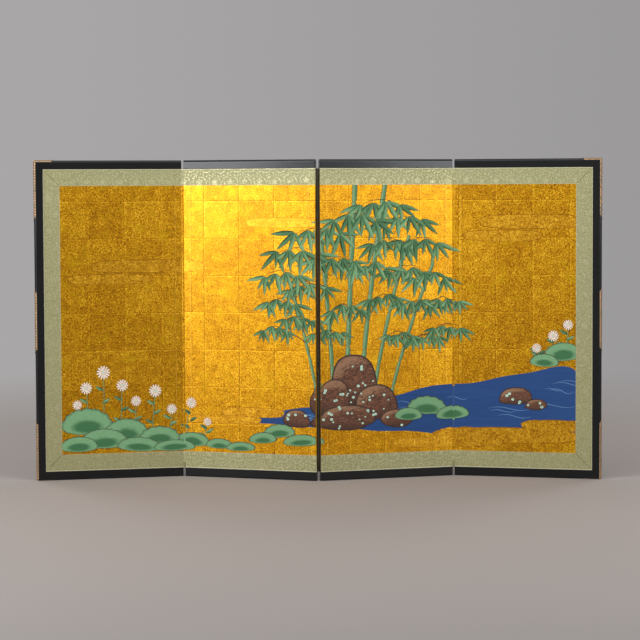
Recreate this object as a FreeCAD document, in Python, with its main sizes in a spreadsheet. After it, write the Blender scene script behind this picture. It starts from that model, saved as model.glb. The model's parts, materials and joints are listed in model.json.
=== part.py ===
import FreeCAD, Part
import os
import Sketcher
from math import cos, pi, sin

# A folding screen of four papered panels in one black lacquered frame, standing in a zigzag.
# The row frame has X to the right, the front facing -Y and Z up; its origin is on the floor,
# under the middle of the standing screen.
# A panel's own frame has X from the left edge of its core, Y from the front of the wooden
# frame backwards and Z from the floor up.

SIZES = [
    ("screen_height", 914, "floor to the top of the wooden frame"),
    ("core_width", 400, "width of one papered panel"),
    ("outer_turn", 14, "degrees that an outer panel is turned from the plane of the screen"),
    ("inner_turn", 18, "degrees that an inner panel is turned from the plane of the screen"),
    ("rail_height", 25, "top and bottom rails, seen from the front"),
    ("stile_width", 25, "outer stiles, seen from the front"),
    ("frame_depth", 19, "rails and stiles, front to back"),
    ("frame_recess", 2, "how far the papered faces lie behind the frame's faces"),
    ("rail_setback", 0.8, "how far a rail ends short of the core's edge at a fold"),
    ("outer_round", 7, "round of the frame's outer long edges"),
    ("foot_round", 3, "round of the long edges that stand on the floor"),
    ("corner_round", 3, "round of the screen's four outer corners, seen from the front"),
    ("inner_arris", 0.8, "round of the frame's edges beside the papered faces"),
    ("border_width", 47.5, "silk brocade border round the whole picture"),
    ("border_silk", 0.5, "brocade and its backing"),
    ("picture_paper", 0.4, "leafed and painted paper of the picture"),
    ("back_paper", 0.5, "printed paper of the back"),
    ("lining", 1, "layers of plain paper over the lattice, each side"),
    ("batten_width", 24, "outer battens of the core"),
    ("slat_width", 12, "slats of the core's lattice"),
    ("lattice_columns", 3, "openings of the lattice across a panel"),
    ("lattice_rows", 8, "openings of the lattice up a panel"),
    ("hinge_paper", 0.3, "paper of the hinges"),
    ("hinge_strips", 6, "strips of paper in one hinge, alternately crossed"),
    ("wing_width", 23, "how far a hinge strip is pasted onto a panel's face"),
    ("strip_gap", 0.2, "air between two strips, and between the parted ends of one"),
    ("axis_clearance", 0.25, "how far a fold's axis lies outside the frame's face"),
    ("fitting_sheet", 0.8, "metal sheet of the fittings"),
    ("fitting_margin", 0.5, "how far a fitting ends short of the frame's front and back faces"),
    ("corner_side_leg", 174, "corner fitting, along the stile"),
    ("corner_top_leg", 58, "corner fitting, along the rail, from the screen's outer side"),
    ("middle_fitting", 188, "middle fitting, along the stile"),
    ("side_point", 14, "pointed end of a fitting on the stile"),
    ("top_point", 9, "pointed end of a fitting on the rail"),
    ("nail_head", 3.2, "diameter of a nail's head"),
    ("nail_dome", 0.9, "height of a nail's head"),
    ("nail_shank", 1.4, "diameter of a nail's shank"),
    ("nail_bite", 12, "how far a long nail reaches into the core"),
    ("nail_play", 0.05, "air round a nail in its hole"),
    ("nail_sink", 0.3, "how far a nail under the screen is sunk"),
    ("pin_length", 9, "shank of a short pin"),
    ("pin_inset", 5, "from a fitting's pointed tip to its pin"),
    ("rail_nail_share", 0.27, "place of a rail's nails, as a share of the core's width from each end"),
    ("corner_nail_share", 0.21, "place of a corner fitting's first long nail along its side leg"),
    ("corner_far_nail_share", 0.85, "place of its second long nail"),
    ("top_pin_share", 0.5, "place of the first pin along the leg on the rail"),
    ("top_far_pin_share", 0.72, "place of the second pin"),
    ("middle_nail_share", 0.4, "place of the middle fitting's long nails from its middle"),
    ("cut_overrun", 2, "how far a cutting shape runs past what it cuts"),
]

doc = FreeCAD.newDocument("folding_screen")
sheet = doc.addObject("Spreadsheet::Sheet", "Sizes")
for row, (alias, value, meaning) in enumerate(SIZES, start=1):
    sheet.set(f"A{row}", meaning)
    sheet.set(f"B{row}", str(value))
    sheet.setAlias(f"B{row}", alias)
doc.recompute()

# Sizes that follow from the sheet.
HEIGHT = "Sizes.screen_height"
WIDTH = "Sizes.core_width"
DEPTH = "Sizes.frame_depth"
MIDDLE_DEPTH = "(Sizes.frame_depth / 2)"
CORE_BOTTOM = "Sizes.rail_height"
CORE_TOP = "(Sizes.screen_height - Sizes.rail_height)"
# The papered faces, from the front of the frame backwards.
BROCADE_FRONT = "Sizes.frame_recess"
LINING_FRONT = "(Sizes.frame_recess + Sizes.border_silk)"
PICTURE_FRONT = f"({LINING_FRONT} - Sizes.picture_paper)"
CORE_FRONT = f"({LINING_FRONT} + Sizes.lining)"
PAPER_BACK = "(Sizes.frame_depth - Sizes.frame_recess)"
LINING_BACK = f"({PAPER_BACK} - Sizes.back_paper)"
CORE_BACK = f"({LINING_BACK} - Sizes.lining)"
# A paper hinge keeps its length when its fold closes, so half of the gap between two panels
# that lie flat is as wide as their faces are recessed.
HALF_GAP = "Sizes.frame_recess"
LONG_OVERHANG = f"({HALF_GAP} + Sizes.hinge_paper / 2)"
SHORT_OVERHANG = f"({HALF_GAP} - Sizes.hinge_paper / 2 - Sizes.strip_gap)"
FRONT_AXIS = "(-Sizes.axis_clearance)"
BACK_AXIS = "(Sizes.frame_depth + Sizes.axis_clearance)"

nodes = []


def count(alias):
    """A whole number from the sheet."""
    return int(sheet.get(alias))


def bind(thing, **expressions):
    """Bind properties to expressions; a double underscore stands for a dot."""
    for name, expression in expressions.items():
        thing.setExpression(name.replace("__", "."), expression)
    return thing


def at(x, y, z, axis="0; 0; 1", turn="0"):
    """The expression of a placement."""
    return f"placement(vector({x}; {y}; {z}); rotation(vector({axis}); ({turn}) * 1deg))"


def add(kind, name, **expressions):
    return bind(doc.addObject(kind, name), **expressions)


def box(name, x_span, y_span, z_span):
    """A block between two faces each way."""
    (x0, x1), (y0, y1), (z0, z1) = x_span, y_span, z_span
    return add("Part::Box", name,
               Length=f"{x1} - ({x0})", Width=f"{y1} - ({y0})", Height=f"{z1} - ({z0})",
               Placement=at(x0, y0, z0))


def cut(name, base, tool):
    result = add("Part::Cut", name)
    result.Base = base
    result.Tool = tool
    return result


def join(name, pieces, kind="Part::MultiFuse"):
    """Several shapes as one; shapes that don't touch stay separate solids."""
    result = add(kind, name)
    result.Shapes = pieces
    return result


def mirror(name, source):
    """The same shape on the other side of the panel's middle."""
    result = add("Part::Mirroring", name, Base__x=f"{WIDTH} / 2")
    result.Source = source
    result.Normal = FreeCAD.Vector(1, 0, 0)
    return result


def node(thing, name, place):
    """A finished sub-part: its label names its file, and its placement stands it in the screen."""
    thing.Label = name
    within_panel = dict(thing.ExpressionEngine).get("Placement")
    bind(thing, Placement=" * ".join(filter(None, [f"{place}.Placement", within_panel])))
    nodes.append(thing)
    return thing


def outline(body, role, points, lift):
    """A closed outline on one of the body's origin planes, each point bound to expressions."""
    plane = [part for part in body.Origin.OriginFeatures if part.Role == role][0]
    sketch = body.newObject("Sketcher::SketchObject", body.Name + "_outline")
    sketch.AttachmentSupport = (plane, [""])
    sketch.MapMode = "FlatFace"
    sketch.setExpression("AttachmentOffset.Base.z", lift)
    number = len(points)
    turns = [2 * pi * index / number for index in range(number)]
    start = [FreeCAD.Vector(cos(turn), sin(turn), 0) for turn in turns]
    for index in range(number):
        sketch.addGeometry(Part.LineSegment(start[index], start[(index + 1) % number]), False)
    for index in range(number):
        after = (index + 1) % number
        sketch.addConstraint(Sketcher.Constraint("Coincident", index, 2, after, 1))
    for index, (across, up) in enumerate(points):
        for way, value, begun in (("DistanceX", across, start[index].x),
                                  ("DistanceY", up, start[index].y)):
            held = sketch.addConstraint(Sketcher.Constraint(way, index, 1, begun))
            sketch.setExpression(f"Constraints[{held}]", value)
    return sketch


def prism(name, role, points, span):
    """An outline on a plane, padded along that plane's axis over a span."""
    low, high = span
    body = doc.addObject("PartDesign::Body", name)
    # The XZ plane's pad runs towards -Y, so its outline lies at the far end of the span.
    lift = f"-({high})" if role == "XZ_Plane" else low
    pad = body.newObject("PartDesign::Pad", name + "_pad")
    pad.Profile = outline(body, role, points, lift)
    bind(pad, Length=f"{high} - ({low})")
    body.Tip = pad
    return body


def corner_edges(shape, role, corners):
    """The long edges of a block at the named corners of its outline."""
    box_of = shape.BoundBox
    ways = {"XY_Plane": ("x", "y"), "XZ_Plane": ("x", "z"), "YZ_Plane": ("y", "z")}[role]
    low = [getattr(box_of, way.upper() + "Min") for way in ways]
    high = [getattr(box_of, way.upper() + "Max") for way in ways]
    found = []
    for number, edge in enumerate(shape.Edges, start=1):
        ends = [vertex.Point for vertex in edge.Vertexes]
        if any(abs(getattr(ends[0], way) - getattr(ends[-1], way)) > 1e-6 for way in ways):
            continue
        place = [getattr(ends[0], way) for way in ways]
        for corner in corners:
            target = [high[i] if end == "high" else low[i] for i, end in enumerate(corner)]
            if all(abs(a - b) < 1e-6 for a, b in zip(place, target)):
                found.append(f"Edge{number}")
    return found


def rounded_block(name, role, u_span, v_span, span, rounds):
    """A rectangular bar whose long edges are rounded, each pair by its own radius."""
    (u0, u1), (v0, v1) = u_span, v_span
    body = prism(name, role, [(u0, v0), (u1, v0), (u1, v1), (u0, v1)], span)
    for radius, corners in rounds.items():
        doc.recompute()
        solid = body.Tip
        fillet = body.newObject("PartDesign::Fillet", f"{name}_{radius}")
        fillet.Base = (solid, corner_edges(solid.Shape, role, corners))
        bind(fillet, Radius=f"Sizes.{radius}")
        body.Tip = fillet
    doc.recompute()
    return body


# Where the four panels and the three folds stand. The centre fold stands forward and turns
# about its back axis; the folds beside it stand back and turn about their front axes.
CENTRE_FRONT_CORNER = (f"(({HALF_GAP} + Sizes.rail_setback) * sin(Sizes.inner_turn * 1deg)"
                       f" - {BACK_AXIS} * cos(Sizes.inner_turn * 1deg))")
VALLEY_AXIS = (f"(({WIDTH} + 2 * {HALF_GAP}) * sin(Sizes.inner_turn * 1deg)"
               f" - ({BACK_AXIS} + Sizes.axis_clearance) * cos(Sizes.inner_turn * 1deg))")
VALLEY_BACK_CORNER = (f"({VALLEY_AXIS} + {BACK_AXIS} * cos(Sizes.outer_turn * 1deg)"
                      f" - ({HALF_GAP} + Sizes.rail_setback) * sin(Sizes.outer_turn * 1deg))")
FOLD_TURN = "Sizes.inner_turn + Sizes.outer_turn"
RIGHT_MIDPLANE = f"({WIDTH} + {HALF_GAP})"
LEFT_MIDPLANE = f"(-{HALF_GAP})"


def turned(place, axis_here, turn, axis_there):
    """A frame that meets another one at a shared fold axis, turned about it."""
    (x0, y0), (x1, y1) = axis_here, axis_there
    return (f"{place}.Placement * {at(x0, y0, 0)} * {at(0, 0, 0, turn=turn)}"
            f" * {at(f'-({x1})', f'-({y1})', 0)}")


add("App::Placement", "centre_fold",
    Placement=at(0, f"-({CENTRE_FRONT_CORNER} + {VALLEY_BACK_CORNER}) / 2", 0))
add("App::Placement", "panel_2_place",
    Placement=turned("centre_fold", ("0", "0"), "-Sizes.inner_turn", (RIGHT_MIDPLANE, BACK_AXIS)))
add("App::Placement", "panel_3_place",
    Placement=turned("centre_fold", ("0", "0"), "Sizes.inner_turn", (LEFT_MIDPLANE, BACK_AXIS)))
add("App::Placement", "panel_1_place",
    Placement=turned("panel_2_place", (LEFT_MIDPLANE, FRONT_AXIS), FOLD_TURN,
                     (RIGHT_MIDPLANE, FRONT_AXIS)))
add("App::Placement", "panel_4_place",
    Placement=turned("panel_3_place", (RIGHT_MIDPLANE, FRONT_AXIS), f"-({FOLD_TURN})",
                     (LEFT_MIDPLANE, FRONT_AXIS)))


# Nails and pins. A seat is the placement of a nail's head on its surface, with Z pointing out
# of the wood.
HEAD_SPHERE = "((Sizes.nail_head ^ 2 / 4 + Sizes.nail_dome ^ 2) / (2 * Sizes.nail_dome))"
TO_THE_LEFT = ("0; 1; 0", "-90")
UPWARDS = ("0; 0; 1", "0")
DOWNWARDS = ("1; 0; 0", "180")


def rod(name, seat, diameter, low, high):
    """A round bar along a nail's own axis."""
    return add("Part::Cylinder", name, Radius=f"({diameter}) / 2", Height=f"{high} - ({low})",
               Placement=f"{seat} * {at(0, 0, low)}")


def domed_nail(name, seat, reach):
    """A nail whose round head stands proud, and the hole for it."""
    head = add("Part::Sphere", name + "_head", Radius=HEAD_SPHERE,
               Angle1=f"asin(({HEAD_SPHERE} - Sizes.nail_dome) / {HEAD_SPHERE})",
               Placement=f"{seat} * {at(0, 0, f'Sizes.nail_dome - {HEAD_SPHERE}')}")
    shank = rod(name + "_shank", seat, "Sizes.nail_shank", f"-({reach})", "0")
    hole = rod(name + "_hole", seat, "Sizes.nail_shank + 2 * Sizes.nail_play",
               f"-({reach}) - Sizes.nail_play", "Sizes.nail_dome / 2")
    return join(name, [head, shank]), hole


def sunk_nail(name, seat, reach):
    """A nail whose flat head lies just inside its surface, and the stepped hole for it."""
    head_low = "(-Sizes.nail_sink - Sizes.nail_dome)"
    head = rod(name + "_head", seat, "Sizes.nail_head", head_low, "-Sizes.nail_sink")
    shank = rod(name + "_shank", seat, "Sizes.nail_shank", f"-({reach})", head_low)
    bore = rod(name + "_bore", seat, "Sizes.nail_head + 2 * Sizes.nail_play",
               head_low, "Sizes.cut_overrun")
    hole = rod(name + "_drill", seat, "Sizes.nail_shank + 2 * Sizes.nail_play",
               f"-({reach}) - Sizes.nail_play", head_low)
    return join(name, [head, shank]), join(name + "_hole", [bore, hole])


def seat(x, z, heading):
    """A place on the middle line of the frame's edge."""
    return at(x, MIDDLE_DEPTH, z, *heading)


def group(name, pairs):
    """The nails of one place as one group, and all their holes."""
    nails = join(name, [nail for nail, hole in pairs])
    holes = join(name + "_holes", [hole for nail, hole in pairs])
    return nails, holes


# The wooden frame round the outside, drawn for the left end; the right end is its mirror.
def frame_end(name, x_span, z_span):
    """A block of the frame's outer section at the left end, rounded in all three views."""
    outer = ("low", "low"), ("low", "high")
    upper = ("low", "high"), ("high", "high")
    lower = ("low", "low"), ("high", "low")
    plan = rounded_block(name + "_plan", "XY_Plane", x_span, ("0", DEPTH), z_span,
                         {"outer_round": outer})
    section = rounded_block(name + "_section", "YZ_Plane", ("0", DEPTH), z_span, x_span,
                            {"outer_round": upper, "foot_round": lower})
    face = rounded_block(name + "_face", "XZ_Plane", x_span, z_span, ("0", DEPTH),
                         {"corner_round": outer})
    return join(name, [plan, section, face], "Part::MultiCommon")


METAL_LEFT = "(-Sizes.stile_width - Sizes.fitting_sheet)"
METAL_TOP = f"({HEIGHT} + Sizes.fitting_sheet)"
LEG_END = "(Sizes.corner_top_leg - Sizes.stile_width)"
NEAR_FACE = "Sizes.fitting_margin"
FAR_FACE = f"({DEPTH} - Sizes.fitting_margin)"


def side_leg(name, tip, shoulder, root):
    """The reach of a fitting on the outer side, with a pointed end; a root of two more values
    is a second pointed end."""
    points = [(NEAR_FACE, shoulder), (MIDDLE_DEPTH, tip), (FAR_FACE, shoulder)]
    if isinstance(root, tuple):
        far_shoulder, far_tip = root
        points += [(FAR_FACE, far_shoulder), (MIDDLE_DEPTH, far_tip), (NEAR_FACE, far_shoulder)]
    else:
        points += [(FAR_FACE, root), (NEAR_FACE, root)]
    return prism(name, "YZ_Plane", points, (METAL_LEFT, "Sizes.outer_round - Sizes.stile_width"))


def rail_leg(name, z_span):
    """The reach of a fitting over or under the rail."""
    shoulder = f"{LEG_END} - Sizes.top_point"
    points = [(METAL_LEFT, NEAR_FACE), (shoulder, NEAR_FACE), (LEG_END, MIDDLE_DEPTH),
              (shoulder, FAR_FACE), (METAL_LEFT, FAR_FACE)]
    return prism(name, "XY_Plane", points, z_span)


def end_fittings():
    """The three fittings of the left end, bent round the frame's outer section."""
    sheet_outside = frame_end("metal_outside", (METAL_LEFT, LEG_END), ("0", METAL_TOP))
    sheet_inside = frame_end("metal_inside",
                             ("-Sizes.stile_width", f"{LEG_END} + Sizes.cut_overrun"),
                             ("Sizes.fitting_sheet", HEIGHT))
    shell = cut("metal_shell", sheet_outside, sheet_inside)
    top_tip = f"{HEIGHT} - Sizes.corner_side_leg"
    middle = f"{HEIGHT} / 2"
    half = "Sizes.middle_fitting / 2"
    top_reach = join("top_reach", [
        side_leg("top_side_leg", top_tip, f"{top_tip} + Sizes.side_point", METAL_TOP),
        rail_leg("top_rail_leg", (f"{HEIGHT} - Sizes.outer_round", METAL_TOP))])
    bottom_reach = join("bottom_reach", [
        side_leg("bottom_side_leg", "Sizes.corner_side_leg",
                 "Sizes.corner_side_leg - Sizes.side_point", "0"),
        rail_leg("bottom_rail_leg", ("0", "Sizes.foot_round"))])
    middle_reach = side_leg("middle_reach", f"{middle} - {half}",
                            f"{middle} - {half} + Sizes.side_point",
                            (f"{middle} + {half} - Sizes.side_point", f"{middle} + {half}"))
    reaches = {"corner_fitting_top": top_reach, "corner_fitting_bottom": bottom_reach,
               "middle_fitting": middle_reach}
    return {name: join(name + "_blank", [shell, reach], "Part::MultiCommon")
            for name, reach in reaches.items()}


def end_nails():
    """Long nails through the side fittings into the core, and short pins at the tips."""
    long_reach = "Sizes.stile_width + Sizes.fitting_sheet + Sizes.nail_bite"
    short_reach = "Sizes.pin_length"
    leg = "Sizes.corner_side_leg"
    half = "Sizes.middle_fitting / 2"
    side_places = []
    for end, start, sign in (("top", HEIGHT, "-"), ("bottom", "0", "+")):
        side_places += [
            (f"{end}_corner_nail", f"{start} {sign} {leg} * Sizes.corner_nail_share", long_reach),
            (f"{end}_far_nail", f"{start} {sign} {leg} * Sizes.corner_far_nail_share", long_reach),
            (f"{end}_tip_pin", f"{start} {sign} ({leg} - Sizes.pin_inset)", short_reach)]
    side_places.append(("middle_nail", f"{HEIGHT} / 2", long_reach))
    for name, sign in (("middle_upper", "+"), ("middle_lower", "-")):
        side_places += [
            (name + "_nail", f"{HEIGHT} / 2 {sign} Sizes.middle_fitting * Sizes.middle_nail_share",
             long_reach),
            (name + "_pin", f"{HEIGHT} / 2 {sign} ({half} - Sizes.pin_inset)", short_reach)]
    pairs = [domed_nail(name, seat(METAL_LEFT, z, TO_THE_LEFT), reach)
             for name, z, reach in side_places]
    leg_places = [
        ("near", "Sizes.corner_top_leg * Sizes.top_pin_share - Sizes.stile_width"),
        ("far", "Sizes.corner_top_leg * Sizes.top_far_pin_share - Sizes.stile_width"),
        ("tip", f"{LEG_END} - Sizes.pin_inset")]
    for name, x in leg_places:
        pairs.append(domed_nail(f"top_leg_{name}_pin", seat(x, METAL_TOP, UPWARDS), short_reach))
        pairs.append(sunk_nail(f"bottom_leg_{name}_pin", seat(x, "0", DOWNWARDS), short_reach))
    return group("left_end_nails", pairs)


stile_blank = frame_end("stile_outside", ("-Sizes.stile_width", "0"), ("0", HEIGHT))
fitting_blanks = end_fittings()
left_nails, left_holes = end_nails()
right_holes = mirror("right_end_holes", left_holes)
left_foot = fitting_blanks["corner_fitting_bottom"]
right_foot = mirror("right_foot", left_foot)
stile_let_in = cut("stile_let_in", stile_blank, left_foot)
left_stile = cut("left_outer_stile", stile_let_in, left_holes)
node(left_stile, "left_outer_stile", "panel_1_place")
right_stile = mirror("right_outer_stile", cut("right_stile_source", stile_let_in, left_holes))
node(right_stile, "right_outer_stile", "panel_4_place")
for blank_name, blank in fitting_blanks.items():
    left_fitting = cut(blank_name + "_left", blank, left_holes)
    node(left_fitting, blank_name + "_left", "panel_1_place")
    right_source = cut(blank_name + "_right_source", blank, left_holes)
    node(mirror(blank_name + "_right", right_source), blank_name + "_right", "panel_4_place")
node(join("left_fitting_nails", [left_nails]), "left_fitting_nails", "panel_1_place")
node(mirror("right_fitting_nails", left_nails), "right_fitting_nails", "panel_4_place")


# The paper hinges.
def from_edge(side, outward, inward):
    """The X span that reaches so far out of and into a panel at one of its edges."""
    if side == "left":
        return f"(-({outward}))", f"({inward})"
    return f"({WIDTH} - ({inward}))", f"({WIDTH} + ({outward}))"


def strip_span(index):
    """The height of one strip of a hinge."""
    height = f"(({CORE_TOP} - {CORE_BOTTOM}) / Sizes.hinge_strips)"
    return (f"{CORE_BOTTOM} + {index} * {height} + Sizes.strip_gap / 2",
            f"{CORE_BOTTOM} + {index + 1} * {height} - Sizes.strip_gap / 2")


def strip_end(name, side, index, face, long):
    """One strip's end, pasted on a panel's front or back. A long end goes on through the gap
    to the fold's axis on the other side; a short one turns to the axis on its own side."""
    front_flat = LINING_FRONT, f"({LINING_FRONT} + Sizes.hinge_paper)"
    back_flat = f"({LINING_BACK} - Sizes.hinge_paper)", LINING_BACK
    flat_y = front_flat if face == "front" else back_flat
    if face == "front":
        turned_y = (flat_y[0], DEPTH) if long else ("0", flat_y[1])
    else:
        turned_y = ("0", flat_y[1]) if long else (flat_y[0], DEPTH)
    out = LONG_OVERHANG if long else SHORT_OVERHANG
    height = strip_span(index)
    flat = box(name + "_flat", from_edge(side, out, "Sizes.wing_width"), flat_y, height)
    turned = box(name + "_turned", from_edge(side, out, f"Sizes.hinge_paper - {out}"), turned_y,
                 height)
    return join(name, [flat, turned])


# The strips of a hinge run alternately from the front of one panel to the back of the other and
# back from the second to the first. Every strip bends at the fold's axis, so it is parted there.
FOLDS = {
    "left": {"axis": "front", "panels": (("panel_2", "left"), ("panel_1", "right"))},
    "centre": {"axis": "back", "panels": (("panel_2", "right"), ("panel_3", "left"))},
    "right": {"axis": "front", "panels": (("panel_3", "right"), ("panel_4", "left"))},
}
OTHER_FACE = {"front": "back", "back": "front"}
hinge_papers = {"panel_1": [], "panel_2": [], "panel_3": [], "panel_4": []}
for fold in FOLDS.values():
    for parity, (panel, side) in enumerate(fold["panels"]):
        name = f"{panel}_{side}_hinge_paper"
        ends = []
        for index in range(count("hinge_strips")):
            long = index % 2 == parity
            face = OTHER_FACE[fold["axis"]] if long else fold["axis"]
            ends.append(strip_end(f"{name}_{index}", side, index, face, long))
        papers = join(name + "_strips", ends)
        hinge_papers[panel].append(papers)
        node(join(name, [papers]), name, f"{panel}_place")


# The four panels.
def rail(name, span, top):
    """A top or bottom rail, rounded on its outer long edges."""
    upper = ("low", "high"), ("high", "high")
    lower = ("low", "low"), ("high", "low")
    z_span = (CORE_TOP, HEIGHT) if top else ("0", CORE_BOTTOM)
    rounds = ({"outer_round": upper, "inner_arris": lower} if top
              else {"foot_round": lower, "inner_arris": upper})
    return rounded_block(name, "YZ_Plane", ("0", DEPTH), z_span, span, rounds)


def rail_nails(panel):
    """Two nails down through the top rail and two up through the bottom rail."""
    reach = "Sizes.rail_height + Sizes.nail_bite"
    pairs = []
    for side, x in (("left", f"{WIDTH} * Sizes.rail_nail_share"),
                    ("right", f"{WIDTH} * (1 - Sizes.rail_nail_share)")):
        name = f"{panel}_{side}"
        pairs.append(domed_nail(name + "_top_nail", seat(x, HEIGHT, UPWARDS), reach))
        pairs.append(sunk_nail(name + "_foot_nail", seat(x, "0", DOWNWARDS), reach))
    return group(f"{panel}_nails", pairs)


def core_frame(panel):
    """The four battens of a core, glued into one frame."""
    depth = (CORE_FRONT, CORE_BACK)
    inner_x = ("Sizes.batten_width", f"{WIDTH} - Sizes.batten_width")
    inner_z = (f"{CORE_BOTTOM} + Sizes.batten_width", f"{CORE_TOP} - Sizes.batten_width")
    outside = box(f"{panel}_core_outside", ("0", WIDTH), depth, (CORE_BOTTOM, CORE_TOP))
    inside = box(f"{panel}_core_inside", inner_x,
                 (f"{CORE_FRONT} - Sizes.cut_overrun", f"{CORE_BACK} + Sizes.cut_overrun"),
                 inner_z)
    return cut(f"{panel}_core_battens", outside, inside)


def core_lattice(panel):
    """The slats inside the core, halved where they cross."""
    depth = (CORE_FRONT, CORE_BACK)
    low_x, high_x = "Sizes.batten_width", f"({WIDTH} - Sizes.batten_width)"
    low_z = f"({CORE_BOTTOM} + Sizes.batten_width)"
    high_z = f"({CORE_TOP} - Sizes.batten_width)"
    half = "Sizes.slat_width / 2"
    slats = []
    for index in range(1, count("lattice_columns")):
        middle = f"({low_x} + ({high_x} - {low_x}) * {index} / Sizes.lattice_columns)"
        slats.append(box(f"{panel}_upright_{index}",
                         (f"({middle} - {half})", f"{middle} + {half}"), depth, (low_z, high_z)))
    for index in range(1, count("lattice_rows")):
        middle = f"({low_z} + ({high_z} - {low_z}) * {index} / Sizes.lattice_rows)"
        slats.append(box(f"{panel}_crossbar_{index}", (low_x, high_x), depth,
                         (f"({middle} - {half})", f"{middle} + {half}")))
    lattice = join(f"{panel}_core_lattice", slats)
    lattice.Refine = True
    return lattice


def pocketed(name, base, tools):
    """A lining with the hinge papers let into it."""
    for number, tool in enumerate(tools):
        base = cut(f"{name}_{number}", base, tool)
    return base


def build_panel(name):
    place = name + "_place"
    has_left_stile, has_right_stile = name == "panel_1", name == "panel_4"
    core_x, core_z = ("0", WIDTH), (CORE_BOTTOM, CORE_TOP)
    rail_x = ("0" if has_left_stile else "Sizes.rail_setback",
              WIDTH if has_right_stile else f"{WIDTH} - Sizes.rail_setback")
    picture_x = ("Sizes.border_width" if has_left_stile else "0",
                 f"{WIDTH} - Sizes.border_width" if has_right_stile else WIDTH)
    picture_z = (f"{CORE_BOTTOM} + Sizes.border_width", f"{CORE_TOP} - Sizes.border_width")
    end_holes = {"panel_1": [left_holes], "panel_4": [right_holes]}.get(name, [])
    foot = {"panel_1": [left_foot], "panel_4": [right_foot]}.get(name, [])
    nails, nail_holes = rail_nails(name)

    battens = pocketed(name + "_drilled_core", core_frame(name), end_holes)
    node(cut(name + "_core_frame", battens, nail_holes), name + "_core_frame", place)
    node(core_lattice(name), name + "_core_lattice", place)

    front_lining = box(name + "_front_lining_sheet", core_x, (LINING_FRONT, CORE_FRONT), core_z)
    back_lining = box(name + "_back_lining_sheet", core_x, (CORE_BACK, LINING_BACK), core_z)
    for lining, side in ((front_lining, "front"), (back_lining, "back")):
        finished = pocketed(f"{name}_{side}_lining", lining, hinge_papers[name])
        node(finished, f"{name}_{side}_lining", place)

    node(box(name + "_picture", picture_x, (PICTURE_FRONT, LINING_FRONT), picture_z),
         name + "_picture", place)
    silk = box(name + "_silk", core_x, (BROCADE_FRONT, LINING_FRONT), core_z)
    window_x = (picture_x[0] if has_left_stile else "-Sizes.cut_overrun",
                picture_x[1] if has_right_stile else f"{WIDTH} + Sizes.cut_overrun")
    window = box(name + "_window", window_x,
                 (f"{BROCADE_FRONT} - Sizes.cut_overrun", f"{LINING_FRONT} + Sizes.cut_overrun"),
                 picture_z)
    node(cut(name + "_brocade", silk, window), name + "_brocade", place)
    node(box(name + "_back_paper", core_x, (LINING_BACK, PAPER_BACK), core_z),
         name + "_back_paper", place)

    top = pocketed(name + "_top_rail_end", rail(name + "_top_rail_bar", rail_x, True), end_holes)
    node(cut(name + "_top_rail", top, nail_holes), name + "_top_rail", place)
    bottom = pocketed(name + "_bottom_rail_end", rail(name + "_bottom_rail_bar", rail_x, False),
                      foot + end_holes)
    node(cut(name + "_bottom_rail", bottom, nail_holes), name + "_bottom_rail", place)
    node(nails, name + "_rail_nails", place)


for panel in hinge_papers:
    build_panel(panel)

doc.recompute()
for thing in doc.Objects:
    wrong = [state for state in thing.State if state in ("Invalid", "Error")]
    if wrong:
        raise RuntimeError(f"{thing.Name} is {wrong}")
for thing in nodes:
    shape = thing.Shape
    if shape.isNull() or not shape.isValid() or not shape.Solids:
        raise RuntimeError(f"{thing.Label} has no sound shape")

os.makedirs("parts", exist_ok=True)
for thing in nodes:
    thing.Shape.exportStep(f"parts/{thing.Label}.step")
    solids = thing.Shape.Solids
    print(f"{thing.Label}: {len(solids)} solids, {thing.Shape.Volume:.1f} cubic mm")
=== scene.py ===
import json
import math
import random

import bmesh
import bpy
from mathutils import Matrix, Vector


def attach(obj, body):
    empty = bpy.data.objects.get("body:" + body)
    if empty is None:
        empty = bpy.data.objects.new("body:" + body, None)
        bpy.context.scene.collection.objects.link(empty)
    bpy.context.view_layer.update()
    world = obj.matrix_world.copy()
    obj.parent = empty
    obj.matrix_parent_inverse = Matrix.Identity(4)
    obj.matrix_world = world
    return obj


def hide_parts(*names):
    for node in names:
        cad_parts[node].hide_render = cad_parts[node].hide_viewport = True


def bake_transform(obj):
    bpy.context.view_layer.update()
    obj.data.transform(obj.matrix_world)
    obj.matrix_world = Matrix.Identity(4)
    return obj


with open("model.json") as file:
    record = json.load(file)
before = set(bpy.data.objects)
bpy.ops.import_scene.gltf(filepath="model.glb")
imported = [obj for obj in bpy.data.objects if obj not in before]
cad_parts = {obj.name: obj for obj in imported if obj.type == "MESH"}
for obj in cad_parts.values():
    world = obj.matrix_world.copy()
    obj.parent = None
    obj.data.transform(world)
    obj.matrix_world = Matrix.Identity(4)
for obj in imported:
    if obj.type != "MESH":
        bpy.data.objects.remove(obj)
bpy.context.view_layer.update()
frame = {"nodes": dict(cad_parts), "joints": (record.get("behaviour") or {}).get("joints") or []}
nodes = frame["nodes"]

MM = 0.001


def turned(degrees):
    return Matrix.Rotation(math.radians(degrees), 4, "Z")


# The axes of the three folds in millimetres, and the degrees by which the inner and outer panels
# are turned from the screen's plane. A fold's lower limit is where its two panels lie flat.
joints = {joint["name"]: joint for joint in frame["joints"]}
fold_left, fold_back, fold_right = (
    Vector((*joints[name]["pos_m"][:2], 0)) / MM for name in ("fold_1_2", "fold_2_3", "fold_3_4"))
inner_turn = -joints["fold_2_3"]["range_deg"][0] / 2
outer_turn = -joints["fold_1_2"]["range_deg"][0] - inner_turn


def reach(name):
    """The lowest and highest corner of a node of panel 2, along, across and up that panel."""
    corners = [turned(inner_turn) @ v.co / MM for v in nodes[name].data.vertices]
    return [Vector([end(c[i] for c in corners) for i in range(3)]) for end in (min, max)]


rail_low, rail_high = reach("panel_2_top_rail")
picture_low, picture_high = reach("panel_2_picture")
wing_low = reach("panel_2_right_hinge_paper")[0]


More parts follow.
